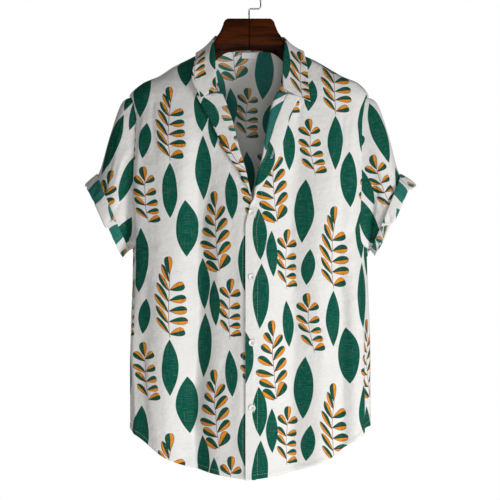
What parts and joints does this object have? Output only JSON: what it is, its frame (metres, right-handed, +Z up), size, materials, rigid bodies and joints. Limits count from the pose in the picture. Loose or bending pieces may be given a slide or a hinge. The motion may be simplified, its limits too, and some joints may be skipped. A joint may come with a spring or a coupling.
{
  "type": "short-sleeved leaf-print camp-collar shirt on a wooden hanger",
  "caption": "Short-sleeved camp-collar shirt with an all-over leaf print, buttoned with its lapels turned out, hanging on a shaped wooden hanger with a wire hook.",
  "frame": {"origin": "inside top of the hanger's hook, where a rail holds it", "axes": "+Z up, front of the shirt faces -Y, +X towards the wearer's left"},
  "size_m": [0.5538, 0.183, 0.8386],
  "materials": {
    "printed_cloth": "matte slubby plain weave, off-white with a printed pattern of green leaves and green and orange sprigs",
    "cloth_reverse": "the same cloth's wrong side, where the print shows through paler",
    "label_cloth": "matte woven white, blank",
    "button_white": "pearly white gloss",
    "dark_wood": "dark walnut stain under satin lacquer",
    "hook_steel": "bright plated wire"
  },
  "bodies": {
    "root": {"front_right": "printed_cloth", "front_left": "printed_cloth", "back": "printed_cloth", "sleeve_right": "printed_cloth", "cuff_right": "cloth_reverse", "sleeve_left": "printed_cloth", "cuff_left": "cloth_reverse", "collar": "printed_cloth", "label": "label_cloth", "button_1": "button_white", "button_2": "button_white", "button_3": "button_white", "button_4": "button_white", "hanger_right": "dark_wood", "hanger_left": "dark_wood", "hook": "hook_steel"}
  },
  "joints": []
}
